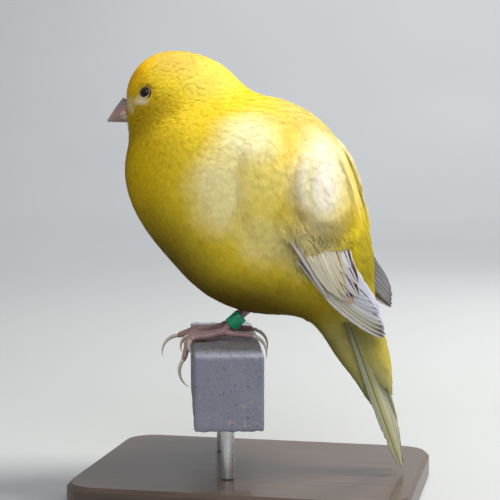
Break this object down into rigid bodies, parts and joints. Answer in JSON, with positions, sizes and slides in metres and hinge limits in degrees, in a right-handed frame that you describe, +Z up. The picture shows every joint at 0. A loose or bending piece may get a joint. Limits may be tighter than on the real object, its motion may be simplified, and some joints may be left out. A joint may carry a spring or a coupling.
{
  "type": "canary model on a cut rail",
  "caption": "Life-size still model of a plump yellow canary gripping a short cut length of timber rail, held over a flat rectangular base by two short rods.",
  "frame": {"origin": "middle of the underside of the stand's base", "axes": "+Z up; the bird looks along -X, with its head turned a little to its left, and its left side is -Y; the rail runs along Y, turned 15 degrees"},
  "size_m": [0.1, 0.076, 0.1332],
  "materials": {
    "plumage_yellow": "soft yellow contour feathers",
    "plumage_flight": "pale yellow and grey-lilac flight and tail feathers",
    "bill_horn": "pinkish horn, satin",
    "eye_dark": "dark brown, wet gloss",
    "leg_skin": "dull pink scaly skin",
    "claw_horn": "pale horn, satin",
    "ring_green": "green, plain, slightly worn",
    "rail_timber": "weathered grey-blue painted timber",
    "stand_timber": "dark stained, satin",
    "stand_steel": "brushed"
  },
  "bodies": {
    "root": {"torso": "plumage_yellow", "neck": "plumage_yellow", "head": "plumage_yellow", "bill_upper": "bill_horn", "bill_lower": "bill_horn", "eye_left": "eye_dark", "eye_right": "eye_dark", "wing_left": "plumage_flight", "wing_right": "plumage_flight", "tail": "plumage_flight", "leg_left": "leg_skin", "leg_right": "leg_skin", "foot_left": "leg_skin", "foot_right": "leg_skin", "claw_left_inner": "claw_horn", "claw_left_middle": "claw_horn", "claw_left_outer": "claw_horn", "claw_left_hind": "claw_horn", "claw_right_inner": "claw_horn", "claw_right_middle": "claw_horn", "claw_right_outer": "claw_horn", "claw_right_hind": "claw_horn", "leg_ring": "ring_green", "perch_rail": "rail_timber", "stand_base": "stand_timber", "stand_rod_front": "stand_steel", "stand_rod_back": "stand_steel"}
  },
  "joints": []
}
